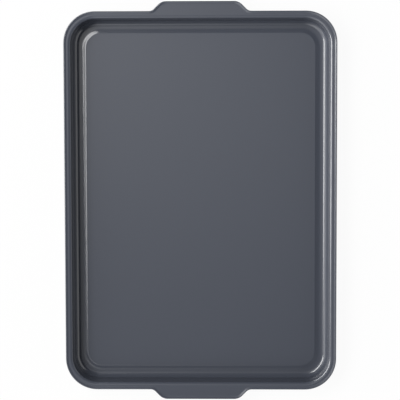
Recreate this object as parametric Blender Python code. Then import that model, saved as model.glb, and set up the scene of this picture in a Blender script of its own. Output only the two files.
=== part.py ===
"""Cookie sheet: one pressed steel sheet with a raised floor, a groove round it, steep walls and a grip tab
at each end, its edge folded under and closed over a steel wire.

Metres, +Z up. X runs across the sheet and Y along it, from tab to tab. The origin lies on the surface that
the sheet stands on, under the middle of its floor.
"""

import math

import bmesh
import bpy

MM = 0.001

# The steel itself
SHEET_GAUGE = 0.7 * MM
WIRE_DIAMETER = 2.0 * MM
WIRE_CLEARANCE = 0.3 * MM
WIRE_BUTT_GAP = 0.6 * MM

# The raised floor, and the step that drops from it into the groove
FLOOR_WIDTH = 260.2 * MM
FLOOR_LENGTH = 380.6 * MM
FLOOR_CORNER_RADIUS = 16.0 * MM
FLOOR_RAISE = 1.1 * MM
FLOOR_EDGE_RADIUS = 4.0 * MM
STEP_FOOT_RADIUS = 15.0 * MM

# The groove's flat base, which the sheet stands on
GROOVE_WIDTH = 1.75 * MM
GROOVE_CORNER_RADIUS = 21.0 * MM

# The walls
RIM_HEIGHT = 25.4 * MM
WALL_DRAFT = math.radians(5.5)
WALL_FOOT_RADIUS = 6.2 * MM
WALL_TOP_BEND_INSIDE = 0.9 * MM

# The flange: a gently rounded crown on top of the wall, then a valley in front of the bead
CROWN_RADIUS = 6.5 * MM
CROWN_INNER_SLOPE = math.radians(25)
CROWN_OUTER_SLOPE = math.radians(4)
VALLEY_RADIUS = 2.5 * MM
VALLEY_WIDTH_AT_SIDES = 0.2 * MM
VALLEY_WIDTH_AT_ENDS = 0.6 * MM

# The bead: the flange rises to the sheet's outer edge, turns down tightly and closes round the wire
BEAD_SLOPE = math.radians(17)
BEAD_SLOPE_LENGTH = 1.55 * MM
BEAD_EDGE_BEND_INSIDE = 0.2 * MM
BEAD_FOOT_BEND_INSIDE = 0.6 * MM
BEAD_CLOSING_TURN = math.radians(75)
RIM_CORNER_RADIUS = 35.6 * MM

# The grip tabs, measured along the outline of the rim
TAB_REACH = 11.0 * MM
TAB_FOOT_WIDTH = 115.2 * MM
TAB_FLANK_ANGLE = math.radians(45)
TAB_FOOT_RADIUS = 8.0 * MM
TAB_TIP_RADIUS = 13.0 * MM

# How many facets each arc has
CORNER_FACETS = 7
TAB_ARC_FACETS = 3
FLOOR_EDGE_FACETS = 2
STEP_FOOT_FACETS = 3
WALL_FOOT_FACETS = 5
WALL_TOP_FACETS = 3
CROWN_FACETS = 4
BEAD_EDGE_FACETS = 4
BEAD_FOOT_FACETS = 3
WIRE_BEVEL_RESOLUTION = 2

# Finishes: linear colour, metallic, roughness
COATING = (0.05, 0.056, 0.074), 0.0, 0.2
BARE_STEEL = (0.45, 0.45, 0.46), 1.0, 0.35

SHARP_EDGE = math.radians(40)
QUARTER_TURN = math.pi / 2


def share(count):
    """The shares 0 to 1 in count equal steps, both ends included."""
    return [step / count for step in range(count + 1)]


def straight(length):
    return (length, 0, 1)


def fold(moves):
    """(run, height) of the points of a folded sheet, which sets out level from (0, 0).

    A move is (radius, turn, facets), where a positive turn bends the sheet up, or a straight.
    """
    run, height, heading = 0, 0, 0
    points = [(run, height)]
    for size, turn, facets in moves:
        if turn == 0:
            run += size * math.cos(heading)
            height += size * math.sin(heading)
            points.append((run, height))
            continue
        radius = math.copysign(size, turn)
        centre_run = run - radius * math.sin(heading)
        centre_height = height + radius * math.cos(heading)
        for s in share(facets)[1:]:
            angle = heading + turn * s
            run = centre_run + radius * math.sin(angle)
            height = centre_height - radius * math.cos(angle)
            points.append((run, height))
        heading += turn
    return points


def step_points():
    """From the floor's edge down to the groove."""
    turn = math.acos(1 - FLOOR_RAISE / (FLOOR_EDGE_RADIUS + STEP_FOOT_RADIUS))
    return fold(
        [
            (FLOOR_EDGE_RADIUS, -turn, FLOOR_EDGE_FACETS),
            (STEP_FOOT_RADIUS, turn, STEP_FOOT_FACETS),
        ]
    )


def bead_edge_radius():
    return SHEET_GAUGE + BEAD_EDGE_BEND_INSIDE


def bead_rise_moves():
    """From the valley's base up to the highest line of the rim."""
    return [
        (VALLEY_RADIUS, BEAD_SLOPE, 1),
        straight(BEAD_SLOPE_LENGTH),
        (bead_edge_radius(), -BEAD_SLOPE, 1),
    ]


def wall_points():
    """From the groove's outer edge up the wall and over the crown to the valley's base."""
    upright = QUARTER_TURN - WALL_DRAFT
    foot = [(WALL_FOOT_RADIUS, upright, WALL_FOOT_FACETS)]
    top = [
        (SHEET_GAUGE + WALL_TOP_BEND_INSIDE, CROWN_INNER_SLOPE - upright, WALL_TOP_FACETS),
        (CROWN_RADIUS, -CROWN_INNER_SLOPE - CROWN_OUTER_SLOPE, CROWN_FACETS),
        (VALLEY_RADIUS, CROWN_OUTER_SLOPE, 1),
    ]
    rise_of_bends = fold(foot + top)[-1][1] + fold(bead_rise_moves())[-1][1]
    wall_length = (RIM_HEIGHT - SHEET_GAUGE - rise_of_bends) / math.sin(upright)
    return fold(foot + [straight(wall_length)] + top)


def wire_seat():
    """From the wire's centre to the outer face of the sheet that is folded round it."""
    return WIRE_DIAMETER / 2 + WIRE_CLEARANCE + SHEET_GAUGE


def wire_depth():
    """From the highest line of the rim down to the wire's centre, under the bead's sloping top."""
    edge = bead_edge_radius()
    slope_starts = edge * (1 + math.sin(BEAD_SLOPE))
    top_above_wire = edge * (1 - math.cos(BEAD_SLOPE)) + (wire_seat() - slope_starts) * math.tan(BEAD_SLOPE)
    return top_above_wire + wire_seat() / math.cos(BEAD_SLOPE)


def bead_points():
    """(inset from the rim's outline, height) from the valley's base over the bead to the free edge."""
    edge = bead_edge_radius()
    foot = SHEET_GAUGE + BEAD_FOOT_BEND_INSIDE
    side = wire_depth() + wire_seat() - edge - foot
    base = 2 * (wire_seat() - foot)
    points = fold(
        bead_rise_moves()
        + [
            (edge, -QUARTER_TURN, BEAD_EDGE_FACETS),
            straight(side),
            (foot, -QUARTER_TURN, BEAD_FOOT_FACETS),
            straight(base),
            (foot, -BEAD_CLOSING_TURN, BEAD_FOOT_FACETS),
        ]
    )
    reach = max(run for run, _ in points)
    top = max(height for _, height in points)
    return [(reach - run, RIM_HEIGHT - top + height) for run, height in points]


def rim_half_sizes():
    """Half the width and half the length of the rim's outline, without the tabs."""
    shared = step_points()[-1][0] + GROOVE_WIDTH + wall_points()[-1][0] + bead_points()[0][0]
    half_width = FLOOR_WIDTH / 2 + shared + VALLEY_WIDTH_AT_SIDES
    half_length = FLOOR_LENGTH / 2 + shared + VALLEY_WIDTH_AT_ENDS
    return half_width, half_length


def corner_line(half_width, half_length, radius):
    """The rounded corner of a rectangle, from its long side to its end."""
    return [
        (
            half_width - radius + radius * math.cos(QUARTER_TURN * s),
            half_length - radius + radius * math.sin(QUARTER_TURN * s),
        )
        for s in share(CORNER_FACETS)
    ]


def tab_line(inset):
    """Half a tab's outline as (x, reach past the end of the rim), from its foot to its tip."""
    turn = TAB_FLANK_ANGLE
    flank_rise = TAB_REACH - (TAB_FOOT_RADIUS + TAB_TIP_RADIUS) * (1 - math.cos(turn))
    slope_run = (TAB_FOOT_RADIUS + TAB_TIP_RADIUS) * math.sin(turn)
    tip_x = TAB_FOOT_WIDTH / 2 - slope_run - flank_rise / math.tan(turn)
    foot_radius = TAB_FOOT_RADIUS + inset
    tip_radius = TAB_TIP_RADIUS - inset
    foot = [
        (
            TAB_FOOT_WIDTH / 2 - foot_radius * math.sin(turn * s),
            TAB_FOOT_RADIUS - foot_radius * math.cos(turn * s),
        )
        for s in share(TAB_ARC_FACETS)
    ]
    tip = [
        (
            tip_x + tip_radius * math.sin(turn * (1 - s)),
            TAB_REACH - TAB_TIP_RADIUS + tip_radius * math.cos(turn * (1 - s)),
        )
        for s in share(TAB_ARC_FACETS)
    ]
    return foot + tip


def rim_line(inset):
    """A quarter of the rim's outline, moved in by inset: long side's middle, corner, tab, tab's middle."""
    half_width, half_length = rim_half_sizes()
    corner = corner_line(half_width - inset, half_length - inset, RIM_CORNER_RADIUS - inset)
    tab = [(x, half_length + reach) for x, reach in tab_line(inset)]
    return [(half_width - inset, 0), *corner, *tab, (0, tab[-1][1])]


def pan_line(half_width, half_length, radius):
    """A quarter of a plain rounded rectangle, with a point for each one on the rim's outline."""
    tab = [(x, half_length) for x, _ in tab_line(bead_points()[0][0])]
    return [(half_width, 0), *corner_line(half_width, half_length, radius), *tab, (0, half_length)]


def sheet_rings():
    """Rings of the sheet's upper face, a quarter of each, from the floor's edge out to the free edge."""
    rings = []

    def add(line, height):
        rings.append([(x, y, height) for x, y in line])

    across, along = FLOOR_WIDTH / 2, FLOOR_LENGTH / 2
    step = step_points()
    for run, height in step:
        line = pan_line(across + run, along + run, FLOOR_CORNER_RADIUS + run)
        add(line, SHEET_GAUGE + FLOOR_RAISE + height)

    across += step[-1][0] + GROOVE_WIDTH
    along += step[-1][0] + GROOVE_WIDTH
    for run, height in wall_points():
        line = pan_line(across + run, along + run, GROOVE_CORNER_RADIUS + run)
        add(line, SHEET_GAUGE + height)

    for inset, height in bead_points():
        add(rim_line(inset), height)
    return rings


def material(name, colour, metallic, roughness):
    made = bpy.data.materials.new(name)
    made.use_nodes = True
    shader = made.node_tree.nodes["Principled BSDF"]
    shader.inputs["Base Color"].default_value = (*colour, 1)
    shader.inputs["Metallic"].default_value = metallic
    shader.inputs["Roughness"].default_value = roughness
    return made


def place(name, data, finish):
    data.materials.append(finish)
    made = bpy.data.objects.new(name, data)
    bpy.context.scene.collection.objects.link(made)
    return made


def make_pressed_sheet(finish):
    """A quarter of the upper face, mirrored across both middles and given the steel's thickness."""
    rings = sheet_rings()
    build = bmesh.new()
    lines = [[build.verts.new(point) for point in ring] for ring in rings]
    middle = build.verts.new((0, 0, rings[0][0][2]))
    build.faces.new([*lines[0], middle])
    for inner, outer in zip(lines, lines[1:]):
        for j in range(len(inner) - 1):
            build.faces.new([inner[j], outer[j], outer[j + 1], inner[j + 1]])
    mesh = bpy.data.meshes.new("pressed_sheet")
    build.to_mesh(mesh)
    build.free()
    mesh.shade_smooth()
    mesh.set_sharp_from_angle(angle=SHARP_EDGE)
    sheet = place("pressed_sheet", mesh, finish)

    mirror = sheet.modifiers.new("both middles", "MIRROR")
    mirror.use_axis = (True, True, False)
    mirror.merge_threshold = 0.01 * MM
    gauge = sheet.modifiers.new("gauge", "SOLIDIFY")
    gauge.thickness = SHEET_GAUGE
    gauge.offset = -1
    gauge.use_even_offset = True
    gauge.use_quality_normals = True
    return sheet


def make_rim_wire(finish):
    """One length of wire inside the bead, its ends butted at the middle of a long side."""
    quarter = rim_line(wire_seat())
    start = (quarter[0][0], WIRE_BUTT_GAP / 2)
    first = [start, *quarter[1:]]
    second = [(-x, y) for x, y in reversed(quarter[:-1])]
    half = first + second
    path = half[:-1] + [(half[-1][0], 0)] + [(x, -y) for x, y in reversed(half[:-1])]

    curve = bpy.data.curves.new("rim_wire", "CURVE")
    curve.dimensions = "3D"
    curve.twist_mode = "Z_UP"
    curve.fill_mode = "FULL"
    curve.bevel_depth = WIRE_DIAMETER / 2
    curve.bevel_resolution = WIRE_BEVEL_RESOLUTION
    curve.use_fill_caps = True
    spline = curve.splines.new("POLY")
    spline.points.add(len(path) - 1)
    for point, (x, y) in zip(spline.points, path):
        point.co = (x, y, RIM_HEIGHT - wire_depth(), 1)
    return place("rim_wire", curve, finish)


def main():
    for old in list(bpy.data.objects):
        bpy.data.objects.remove(old)
    make_pressed_sheet(material("coated_steel", *COATING))
    make_rim_wire(material("bare_steel", *BARE_STEEL))


main()
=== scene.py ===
# %% [markdown]
# A cookie sheet is a single piece of steel: a flat blank is pressed into a shallow tray, its edge is
# folded under and closed over a wire, and the whole thing is coated with a dark non-stick finish. This
# notebook dresses the imported model of such a sheet: it draws the same steel with finer bends, so that
# light slides over them as it does on the real one, then coats it, lights it and looks down on it.
#
# The first step loads the imported model, which says where everything is.

# %% Load the imported model
import math

import bmesh
import bpy
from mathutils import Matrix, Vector


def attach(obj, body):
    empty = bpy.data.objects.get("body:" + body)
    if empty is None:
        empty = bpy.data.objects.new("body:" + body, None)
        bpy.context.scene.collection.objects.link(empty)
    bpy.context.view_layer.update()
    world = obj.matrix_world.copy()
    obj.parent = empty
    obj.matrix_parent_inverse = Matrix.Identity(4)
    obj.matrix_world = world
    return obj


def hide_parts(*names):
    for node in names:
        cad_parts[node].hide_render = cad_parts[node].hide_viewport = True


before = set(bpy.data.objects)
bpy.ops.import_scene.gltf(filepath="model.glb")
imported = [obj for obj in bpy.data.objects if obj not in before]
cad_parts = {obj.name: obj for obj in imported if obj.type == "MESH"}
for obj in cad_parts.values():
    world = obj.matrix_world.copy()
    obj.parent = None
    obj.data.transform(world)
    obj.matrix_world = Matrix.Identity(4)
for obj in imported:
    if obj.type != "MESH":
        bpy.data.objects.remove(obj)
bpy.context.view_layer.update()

print("packed nodes:", sorted(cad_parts))

# %% [markdown]
# The sheet's cross-section is made the way a press makes it: a strip of steel sets out level from the
# floor and is bent up or down, one bend after another. So the section is a list of moves, each a straight
# or a bend with its own radius and turn, and one function walks along them. A real bend is never a kink,
# and its highlight is what the eye reads as its radius, so each bend gets a facet for every few degrees.

# %% Walk along a folded strip
MM = 0.001
FACET_TURN = math.radians(6)
QUARTER_TURN = math.pi / 2


def shares(count):
    return [step / count for step in range(count + 1)]


def facets(turn):
    return max(2, math.ceil(abs(turn) / FACET_TURN))


def fold(moves):
    """Points of a strip that sets out level from (0, 0); a move is (length, 0) or (radius, turn)."""
    run, height, heading = 0, 0, 0
    points = [(run, height)]
    for size, turn in moves:
        if turn == 0:
            run += size * math.cos(heading)
            height += size * math.sin(heading)
            points.append((run, height))
            continue
        radius = math.copysign(size, turn)
        centre = (run - radius * math.sin(heading), height + radius * math.cos(heading))
        for s in shares(facets(turn))[1:]:
            angle = heading + turn * s
            run = centre[0] + radius * math.sin(angle)
            height = centre[1] - radius * math.cos(angle)
            points.append((run, height))
        heading += turn
    return points


print("a right-angled bend gets", facets(QUARTER_TURN), "facets")

# %% [markdown]
# The floor is raised a millimetre inside a groove, which stiffens it, so that it doesn't buckle with a
# bang when the oven heats it. The step between them is very gentle: it leans by 15 degrees. A steeper one
# on the left would look into the rim, and this one looks just over it and shows the softbox as a white
# line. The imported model's step leans a few degrees more, which moves its surface by a few hundredths of a
# millimetre. The length of the straight is what is left of the rise.

# %% The step from the raised floor down to the groove
GAUGE = 0.7 * MM
FLOOR_HALF_WIDTH = 130.1 * MM
FLOOR_HALF_LENGTH = 190.3 * MM
FLOOR_CORNER_RADIUS = 16 * MM
FLOOR_RAISE = 1.1 * MM
FLOOR_EDGE_RADIUS = 4 * MM
STEP_FOOT_RADIUS = 15 * MM
STEP_SLOPE = math.radians(15)

rise_of_bends = (FLOOR_EDGE_RADIUS + STEP_FOOT_RADIUS) * (1 - math.cos(STEP_SLOPE))
step_straight = (FLOOR_RAISE - rise_of_bends) / math.sin(STEP_SLOPE)
step = fold([(FLOOR_EDGE_RADIUS, -STEP_SLOPE), (step_straight, 0), (STEP_FOOT_RADIUS, STEP_SLOPE)])
print(f"the step is {step[-1][0] / MM:.1f} mm wide, {step_straight / MM:.1f} mm of it straight")

# %% [markdown]
# The groove's flat base is what the sheet stands on. From its outer edge the wall rises with a few degrees
# of draft, which let the sheet come off the punch, and rolls over a soft crown into the shallow valley in
# front of the rolled edge. The wall's length isn't chosen: it is what is left of the rim's height.

# %% The wall, the crown and the rolled edge
GROOVE_WIDTH = 1.513 * MM
GROOVE_CORNER_RADIUS = 21 * MM
RIM_HEIGHT = 25.4 * MM
WALL_DRAFT = math.radians(5.5)
WALL_FOOT_RADIUS = 6.2 * MM
WALL_TOP_RADIUS = 1.6 * MM
CROWN_RADIUS = 6.5 * MM
CROWN_INNER_SLOPE = math.radians(25)
CROWN_OUTER_SLOPE = math.radians(4)
VALLEY_RADIUS = 2.5 * MM
VALLEY_AT_SIDES = 0.2 * MM
VALLEY_AT_ENDS = 0.6 * MM
BEAD_SLOPE = math.radians(17)
BEAD_SLOPE_LENGTH = 1.55 * MM
BEAD_EDGE_RADIUS = 0.9 * MM
BEAD_FOOT_RADIUS = 1.3 * MM
BEAD_CLOSING_TURN = math.radians(75)
WIRE_RADIUS = 1 * MM
WIRE_CLEARANCE = 0.3 * MM

upright = QUARTER_TURN - WALL_DRAFT
wall_foot = [(WALL_FOOT_RADIUS, upright)]
wall_top = [
    (WALL_TOP_RADIUS, CROWN_INNER_SLOPE - upright),
    (CROWN_RADIUS, -CROWN_INNER_SLOPE - CROWN_OUTER_SLOPE),
    (VALLEY_RADIUS, CROWN_OUTER_SLOPE),
]
bead_rise = [
    (VALLEY_RADIUS, BEAD_SLOPE),
    (BEAD_SLOPE_LENGTH, 0),
    (BEAD_EDGE_RADIUS, -BEAD_SLOPE),
]
bends_rise = fold(wall_foot + wall_top)[-1][1] + fold(bead_rise)[-1][1]
wall_length = (RIM_HEIGHT - GAUGE - bends_rise) / math.sin(upright)
wall = fold(wall_foot + [(wall_length, 0)] + wall_top)

seat = WIRE_RADIUS + WIRE_CLEARANCE + GAUGE
slope_start = BEAD_EDGE_RADIUS * (1 + math.sin(BEAD_SLOPE))
rise_of_bend = BEAD_EDGE_RADIUS * (1 - math.cos(BEAD_SLOPE))
top_above_wire = rise_of_bend + (seat - slope_start) * math.tan(BEAD_SLOPE)
wire_depth = top_above_wire + seat / math.cos(BEAD_SLOPE)
bead = fold(
    bead_rise
    + [
        (BEAD_EDGE_RADIUS, -QUARTER_TURN),
        (wire_depth + seat - BEAD_EDGE_RADIUS - BEAD_FOOT_RADIUS, 0),
        (BEAD_FOOT_RADIUS, -QUARTER_TURN),
        (2 * (seat - BEAD_FOOT_RADIUS), 0),
        (BEAD_FOOT_RADIUS, -BEAD_CLOSING_TURN),
    ]
)
bead_reach = max(run for run, height in bead)
bead_top = max(height for run, height in bead)
bead = [(bead_reach - run, RIM_HEIGHT - bead_top + height) for run, height in bead]
print(f"the wall's straight is {wall_length / MM:.1f} mm long, the bead {bead_reach / MM:.2f} mm wide")

# %% [markdown]
# Seen from above, every line of the section follows one of two outlines. Floor, groove and wall follow a
# plain rectangle with rounded corners. The rolled edge follows the rim's outline, which swings out round a
# grip tab at each end. Both are drawn for a quarter of the sheet and point for point alike, so that the
# two can be joined by plain strips of faces.

# %% Outlines of a quarter of the sheet
RIM_CORNER_RADIUS = 35.6 * MM
TAB_REACH = 11.0 * MM
TAB_FOOT_HALF_WIDTH = 57.6 * MM
TAB_FLANK_ANGLE = math.radians(45)
TAB_FOOT_RADIUS = 8 * MM
TAB_TIP_RADIUS = 13 * MM
CORNER_FACETS = 24

shared_run = step[-1][0] + GROOVE_WIDTH + wall[-1][0] + bead[0][0]
RIM_HALF_WIDTH = FLOOR_HALF_WIDTH + shared_run + VALLEY_AT_SIDES
RIM_HALF_LENGTH = FLOOR_HALF_LENGTH + shared_run + VALLEY_AT_ENDS


def corner_line(half_width, half_length, radius):
    return [
        (
            half_width - radius + radius * math.cos(QUARTER_TURN * s),
            half_length - radius + radius * math.sin(QUARTER_TURN * s),
        )
        for s in shares(CORNER_FACETS)
    ]


def tab_line(inset):
    """Half a tab as (x, reach past the rim's end), from its foot to its tip."""
    turn = TAB_FLANK_ANGLE
    radii = TAB_FOOT_RADIUS + TAB_TIP_RADIUS
    flank_rise = TAB_REACH - radii * (1 - math.cos(turn))
    tip_x = TAB_FOOT_HALF_WIDTH - radii * math.sin(turn) - flank_rise / math.tan(turn)
    line = []
    for s in shares(facets(turn)):
        reach = TAB_FOOT_RADIUS - (TAB_FOOT_RADIUS + inset) * math.cos(turn * s)
        line.append((TAB_FOOT_HALF_WIDTH - (TAB_FOOT_RADIUS + inset) * math.sin(turn * s), reach))
    for s in shares(facets(turn)):
        reach = TAB_REACH - TAB_TIP_RADIUS + (TAB_TIP_RADIUS - inset) * math.cos(turn * (1 - s))
        line.append((tip_x + (TAB_TIP_RADIUS - inset) * math.sin(turn * (1 - s)), reach))
    return line


def rim_line(inset):
    corner = corner_line(RIM_HALF_WIDTH - inset, RIM_HALF_LENGTH - inset, RIM_CORNER_RADIUS - inset)
    tab = [(x, RIM_HALF_LENGTH + reach) for x, reach in tab_line(inset)]
    return [(RIM_HALF_WIDTH - inset, 0), *corner, *tab, (0, tab[-1][1])]


def pan_line(half_width, half_length, radius):
    tab = [(x, half_length) for x, reach in tab_line(bead_reach)]
    return [(half_width, 0), *corner_line(half_width, half_length, radius), *tab, (0, half_length)]


over_tabs = 2 * (RIM_HALF_LENGTH + TAB_REACH)
print(f"rim {2 * RIM_HALF_WIDTH / MM:.1f} mm wide, {over_tabs / MM:.1f} mm long over the tabs")

# %% [markdown]
# Now the steel itself. Only a quarter of its upper face is drawn, ring by ring; a Mirror modifier makes
# the whole, and Solidify gives it its thickness, as rolling gave it to the real blank. Weighted Normal
# lets the large flat faces keep their own direction, so that no bend smears a false gradient across the
# floor.

# %% The pressed sheet
SHARP_EDGE = math.radians(40)
SAME_POINT = 0.01 * MM

rings = []
for run, height in step:
    line = pan_line(FLOOR_HALF_WIDTH + run, FLOOR_HALF_LENGTH + run, FLOOR_CORNER_RADIUS + run)
    rings.append([(x, y, GAUGE + FLOOR_RAISE + height) for x, y in line])
groove_side = FLOOR_HALF_WIDTH + step[-1][0] + GROOVE_WIDTH
groove_end = FLOOR_HALF_LENGTH + step[-1][0] + GROOVE_WIDTH
for run, height in wall:
    line = pan_line(groove_side + run, groove_end + run, GROOVE_CORNER_RADIUS + run)
    rings.append([(x, y, GAUGE + height) for x, y in line])
for inset, height in bead:
    rings.append([(x, y, height) for x, y in rim_line(inset)])

build = bmesh.new()
lines = [[build.verts.new(point) for point in ring] for ring in rings]
middle = build.verts.new((0, 0, rings[0][0][2]))
build.faces.new([*lines[0], middle])
for inner, outer in zip(lines, lines[1:]):
    for j in range(len(inner) - 1):
        build.faces.new([inner[j], outer[j], outer[j + 1], inner[j + 1]])
sheet_mesh = bpy.data.meshes.new("coated_sheet")
build.to_mesh(sheet_mesh)
build.free()
sheet_mesh.shade_smooth()
sheet_mesh.set_sharp_from_angle(angle=SHARP_EDGE)
sheet = bpy.data.objects.new("coated_sheet", sheet_mesh)
bpy.context.scene.collection.objects.link(sheet)

mirror = sheet.modifiers.new("both middles", "MIRROR")
mirror.use_axis = (True, True, False)
mirror.merge_threshold = SAME_POINT
thicken = sheet.modifiers.new("gauge", "SOLIDIFY")
thicken.thickness = GAUGE
thicken.offset = -1
thicken.use_even_offset = True
thicken.use_quality_normals = True
normals = sheet.modifiers.new("flat stays flat", "WEIGHTED_NORMAL")
normals.keep_sharp = True

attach(sheet, "root")
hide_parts("pressed_sheet")
print("rings of the section:", len(rings), "points in each:", len(rings[0]))

# %% [markdown]
# The wire keeps the rim straight and gives the hand something round to hold. On the real sheet it is cut
# from a coil, bent to the outline and laid in before the edge is closed, so its two ends meet in a butt.
# Only a narrow slit under the rim shows it. A curve with a round bevel is the plainest way to draw a bent
# wire; once it is drawn it becomes a mesh, like the sheet.

# %% The wire in the rim
WIRE_BUTT_GAP = 0.6 * MM
WIRE_ROUNDNESS = 4

quarter = rim_line(seat)
start = (quarter[0][0], WIRE_BUTT_GAP / 2)
half = [start, *quarter[1:]] + [(-x, y) for x, y in reversed(quarter[:-1])]
path = half[:-1] + [(half[-1][0], 0)] + [(x, -y) for x, y in reversed(half[:-1])]
wire_curve = bpy.data.curves.new("edge_wire", "CURVE")
wire_curve.dimensions = "3D"
wire_curve.twist_mode = "Z_UP"
wire_curve.fill_mode = "FULL"
wire_curve.bevel_depth = WIRE_RADIUS
wire_curve.bevel_resolution = WIRE_ROUNDNESS
wire_curve.use_fill_caps = True
spline = wire_curve.splines.new("POLY")
spline.points.add(len(path) - 1)
for point, (x, y) in zip(spline.points, path):
    point.co = (x, y, RIM_HEIGHT - wire_depth, 1)
drawn = bpy.data.objects.new("edge_wire_path", wire_curve)
wire_mesh = bpy.data.meshes.new_from_object(drawn)
bpy.data.objects.remove(drawn)
wire_mesh.name = "edge_wire"
wire_mesh.shade_smooth()
wire_mesh.set_sharp_from_angle(angle=SHARP_EDGE)
wire = bpy.data.objects.new("edge_wire", wire_mesh)
bpy.context.scene.collection.objects.link(wire)

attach(wire, "root")
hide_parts("rim_wire")
print("points along the wire:", len(path))

# %% [markdown]
# Colours are written as sRGB hex values, the way a paint chart gives them, and turned into the linear
# values that a renderer adds and multiplies. One small function adds a node with its settings and its
# links, and every material below is built with it.

# %% Colour and node helpers
def linear(code):
    """A hex colour such as 5b6067 as linear red, green, blue and alpha."""
    channels = [int(code[i : i + 2], 16) / 255 for i in (0, 2, 4)]
    return tuple(c / 12.92 if c <= 0.04045 else ((c + 0.055) / 1.055) ** 2.4 for c in channels) + (1,)


def node(tree, kind, settings=None, values=None, links=None):
    """Add a node, set its properties and sockets, and link each named socket from another node's output."""
    made = tree.nodes.new(kind)
    for name, value in (settings or {}).items():
        setattr(made, name, value)
    for name, value in (values or {}).items():
        made.inputs[name].default_value = value
    for name, output in (links or {}).items():
        tree.links.new(output, made.inputs[name])
    return made


def new_material(name):
    made = bpy.data.materials.new(name)
    made.use_nodes = True
    tree = made.node_tree
    tree.nodes.clear()
    return made, tree


print("half grey in linear values:", [round(c, 3) for c in linear("808080")])

# %% [markdown]
# The coating is a fluoropolymer non-stick finish with fine metallic pigment, sprayed on and baked. It is a
# dark blue-grey with a satin gloss: sharp enough to draw the softbox as a line on each bend, soft enough
# to show no picture on the floor. It reflects about twice as much as plain plastic does, so its specular
# level is 1 and not the usual half. Sprayed coatings dry with a faint orange peel, here lumps 1.5 mm wide
# and less than a micrometre high, which only makes the edge of a reflection waver. The colour drifts a
# little over the width of a hand, and the pigment gathers in flecks. A real fleck is about 0.05 mm, far
# too fine to show here, so the flecks are drawn 0.8 mm wide and very faint; where they lie the gloss is a
# little duller.

# %% Non-stick coating on steel
COATING_GREY = "4c505a"
COATING_DARKER = "4a4e58"
COATING_LIGHTER = "4e525c"
COATING_GLOSS = 1.0
COATING_ROUGHNESS = 0.18
ROUGHNESS_DRIFT = 0.02
PEEL_WIDTH = 1.5 * MM
PEEL_HEIGHT = 0.0006 * MM
FLECK_WIDTH = 0.8 * MM
CLOUD_WIDTH = 90 * MM

coating, tree = new_material("nonstick_coated_steel")
place = node(tree, "ShaderNodeTexCoord").outputs["Object"]
cloud = node(tree, "ShaderNodeTexNoise", {}, {"Scale": 1 / CLOUD_WIDTH, "Detail": 2}, {"Vector": place})
fleck = node(tree, "ShaderNodeTexNoise", {}, {"Scale": 1 / FLECK_WIDTH, "Detail": 1}, {"Vector": place})
peel = node(tree, "ShaderNodeTexNoise", {}, {"Scale": 1 / PEEL_WIDTH, "Detail": 1}, {"Vector": place})
cloud_colour = node(
    tree,
    "ShaderNodeMix",
    {"data_type": "RGBA"},
    {"A": linear(COATING_DARKER), "B": linear(COATING_GREY)},
    {"Factor": cloud.outputs["Fac"]},
)
colour = node(
    tree,
    "ShaderNodeMix",
    {"data_type": "RGBA"},
    {"B": linear(COATING_LIGHTER)},
    {"Factor": fleck.outputs["Fac"], "A": cloud_colour.outputs["Result"]},
)
gloss = node(
    tree,
    "ShaderNodeMapRange",
    {},
    {"To Min": COATING_ROUGHNESS - ROUGHNESS_DRIFT, "To Max": COATING_ROUGHNESS + ROUGHNESS_DRIFT},
    {"Value": fleck.outputs["Fac"]},
)
bump = node(
    tree, "ShaderNodeBump", {}, {"Strength": 1, "Distance": PEEL_HEIGHT}, {"Height": peel.outputs["Fac"]}
)
shader = node(
    tree,
    "ShaderNodeBsdfPrincipled",
    {},
    {"Specular IOR Level": COATING_GLOSS},
    {
        "Base Color": colour.outputs["Result"],
        "Roughness": gloss.outputs["Result"],
        "Normal": bump.outputs["Normal"],
    },
)
node(tree, "ShaderNodeOutputMaterial", {}, {}, {"Surface": shader.outputs["BSDF"]})
sheet_mesh.materials.append(coating)
print("made", coating.name, "with orange peel", PEEL_HEIGHT / MM * 1000, "micrometres high")

# %% [markdown]
# The wire is drawn steel with a thin hot-dip coat of zinc. Zinc is a metal, so it keeps the default IOR
# and gets its colour from its reflection: a pale grey, dulled in patches a few millimetres long where it
# froze.

# %% Galvanised steel wire
ZINC_PALE = "bcbfc2"
ZINC_DULL = "9ea2a6"
ZINC_PATCH = 3 * MM
ZINC_PALE_ROUGHNESS = 0.28
ZINC_DULL_ROUGHNESS = 0.45

zinc, tree = new_material("galvanised_steel_wire")
place = node(tree, "ShaderNodeTexCoord").outputs["Object"]
patch = node(tree, "ShaderNodeTexNoise", {}, {"Scale": 1 / ZINC_PATCH, "Detail": 3}, {"Vector": place})
colour = node(
    tree,
    "ShaderNodeMix",
    {"data_type": "RGBA"},
    {"A": linear(ZINC_PALE), "B": linear(ZINC_DULL)},
    {"Factor": patch.outputs["Fac"]},
)
gloss = node(
    tree,
    "ShaderNodeMapRange",
    {},
    {"To Min": ZINC_PALE_ROUGHNESS, "To Max": ZINC_DULL_ROUGHNESS},
    {"Value": patch.outputs["Fac"]},
)
shader = node(
    tree,
    "ShaderNodeBsdfPrincipled",
    {},
    {"Metallic": 1},
    {"Base Color": colour.outputs["Result"], "Roughness": gloss.outputs["Result"]},
)
node(tree, "ShaderNodeOutputMaterial", {}, {}, {"Surface": shader.outputs["BSDF"]})
wire_mesh.materials.append(zinc)
print("made", zinc.name)

# %% [markdown]
# The photograph was taken on a white studio table. A very large white disc stands for it. To the camera
# and to reflections most of its brightness is its own, so that it stays white to the edges of the picture.
# The small rest comes from the lamps, so that the sheet still casts a soft shadow on it.

# %% The studio table
TABLE_RADIUS = 8.0
TABLE_GAP = 0.05 * MM
TABLE_WHITE = "f4f4f4"
TABLE_GLOW = 0.94
TABLE_EDGES = 96

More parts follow.
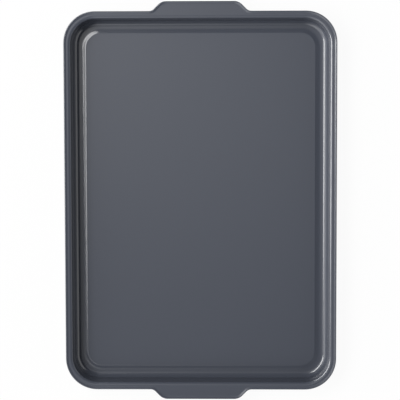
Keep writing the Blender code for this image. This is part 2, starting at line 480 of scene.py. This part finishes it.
build = bmesh.new()
bmesh.ops.create_circle(build, cap_ends=True, segments=TABLE_EDGES, radius=TABLE_RADIUS)
table_mesh = bpy.data.meshes.new("studio_table")
build.to_mesh(table_mesh)
build.free()
table = bpy.data.objects.new("studio_table", table_mesh)
table.location.z = -TABLE_GAP
bpy.context.scene.collection.objects.link(table)

table_white, tree = new_material("matt_white_table")
ray = node(tree, "ShaderNodeLightPath").outputs
seen = ray["Is Camera Ray"]
for kind in ("Is Glossy Ray", "Is Transmission Ray"):
    either = node(tree, "ShaderNodeMath", {"operation": "MAXIMUM"}, {}, {0: seen, 1: ray[kind]})
    seen = either.outputs["Value"]
share = node(tree, "ShaderNodeMath", {"operation": "MULTIPLY"}, {1: TABLE_GLOW}, {0: seen})
matt = node(tree, "ShaderNodeBsdfDiffuse", {}, {"Color": linear(TABLE_WHITE)})
glow = node(tree, "ShaderNodeEmission", {}, {"Color": linear("ffffff"), "Strength": 1})
mixed = node(
    tree,
    "ShaderNodeMixShader",
    {},
    {},
    {0: share.outputs["Value"], 1: matt.outputs["BSDF"], 2: glow.outputs["Emission"]},
)
node(tree, "ShaderNodeOutputMaterial", {}, {}, {"Surface": mixed.outputs["Shader"]})
table_mesh.materials.append(table_white)
print("table", 2 * TABLE_RADIUS, "m across")

# %% [markdown]
# One long softbox hangs to the left, a little less than 40 degrees down from the vertical. The floor,
# which faces up, doesn't reflect it, and only slopes that lean to the left do: the left step and, on the
# right, the foot of the wall, the crown and the rolled edge. A weak board low on the right lightens what
# faces it. Each lamp is aimed at the sheet and given as the sheet sees it, by two angles for its place and
# two for its size, because a shiny surface shows only directions. Its radiance is the brightness of its
# face, where 1 is white.

# %% Lamps
LAMP_DISTANCE = 3.0


def heading(zenith, azimuth):
    """A direction as the sheet sees it: degrees down from the vertical, and degrees round from the right."""
    down, turned = math.radians(zenith), math.radians(azimuth)
    return Vector((math.sin(down) * math.cos(turned), math.sin(down) * math.sin(turned), math.cos(down)))


def lamp(name, zenith, azimuth, height, width, radiance):
    """A flat lamp aimed at the sheet; its height and width are angles in degrees, as the sheet sees them."""
    away = heading(zenith, azimuth)
    data = bpy.data.lights.new(name, "AREA")
    data.shape = "RECTANGLE"
    data.size = 2 * LAMP_DISTANCE * math.tan(math.radians(width) / 2)
    data.size_y = 2 * LAMP_DISTANCE * math.tan(math.radians(height) / 2)
    data.energy = math.pi * data.size * data.size_y * radiance
    made = bpy.data.objects.new(name, data)
    made.location = away * LAMP_DISTANCE
    made.rotation_euler = away.to_track_quat("Z", "Y").to_euler()
    bpy.context.scene.collection.objects.link(made)
    print(f"{name}: {data.size:.1f} x {data.size_y:.1f} m, {data.energy:.0f} W")


lamp("softbox", zenith=37, azimuth=154, height=22, width=48, radiance=7.7)
lamp("fill_board", zenith=66, azimuth=0, height=44, width=80, radiance=0.84)

# %% [markdown]
# The rest of the light is the pale room. Two small glows overhead are what the floor mirrors, as a slow
# gradient that is lightest at the upper left. Wide ones, low on the left and towards the near side, light
# the walls. A glow is the power of a cosine: it is brightest in one direction and fades evenly all round,
# and the higher the power, the smaller the glow. The first one is added to an empty Value, which is
# darkness. All the light together makes a level white card about as white as it is, so a colour comes out
# about as it is written.

# %% The glow of the room
def add_glow(tree, direction, zenith, azimuth, tightness, level, light):
    """Add a round glow to the light that is there already; the higher its tightness, the smaller it is."""
    middle = heading(zenith, azimuth)
    towards = node(tree, "ShaderNodeVectorMath", {"operation": "DOT_PRODUCT"}, {1: middle}, {0: direction})
    ahead = node(tree, "ShaderNodeMath", {"operation": "MAXIMUM"}, {1: 0}, {0: towards.outputs["Value"]})
    fading = node(tree, "ShaderNodeMath", {"operation": "POWER"}, {1: tightness}, {0: ahead.outputs["Value"]})
    return node(
        tree,
        "ShaderNodeMath",
        {"operation": "MULTIPLY_ADD"},
        {1: level},
        {0: fading.outputs["Value"], 2: light.outputs["Value"]},
    )


room = bpy.data.worlds.new("pale_room")
room.use_nodes = True
tree = room.node_tree
tree.nodes.clear()
direction = node(tree, "ShaderNodeTexCoord").outputs["Generated"]
light = node(tree, "ShaderNodeValue")
light = add_glow(tree, direction, zenith=90, azimuth=195, tightness=3, level=2.37, light=light)
light = add_glow(tree, direction, zenith=40, azimuth=240, tightness=24, level=1.91, light=light)
light = add_glow(tree, direction, zenith=12, azimuth=150, tightness=80, level=0.97, light=light)
light = add_glow(tree, direction, zenith=0, azimuth=0, tightness=100, level=0.33, light=light)
air = node(
    tree, "ShaderNodeBackground", {}, {"Color": linear("ffffff")}, {"Strength": light.outputs["Value"]}
)
node(tree, "ShaderNodeOutputWorld", {}, {}, {"Surface": air.outputs["Background"]})
bpy.context.scene.world = room
print("made", room.name, "with", len(tree.nodes), "nodes")

# %% [markdown]
# The photograph looks down from a good distance with a long lens. The camera hangs a little to the right
# of the sheet's middle and farther towards its top, so a touch more of the left and the lower walls is
# seen than of the others. It is turned back by a few degrees to keep the sheet in the middle of the
# picture.

# %% Camera
IMAGE_PIXELS = 400
FOCAL_PIXELS = 1486.5
SENSOR_WIDTH = 36
CAMERA_PLACE = Vector((33.8, 121.2, 1700)) * MM
CAMERA_TURN = (-0.071, 0.0203, -0.0024)

lens = bpy.data.cameras.new("camera")
lens.sensor_width = SENSOR_WIDTH
lens.lens = FOCAL_PIXELS * SENSOR_WIDTH / IMAGE_PIXELS
camera = bpy.data.objects.new("camera", lens)
camera.location = CAMERA_PLACE
camera.rotation_euler = CAMERA_TURN
bpy.context.scene.collection.objects.link(camera)
bpy.context.scene.camera = camera
bpy.context.scene.view_settings.view_transform = "Standard"
print(f"lens {lens.lens:.1f} mm")
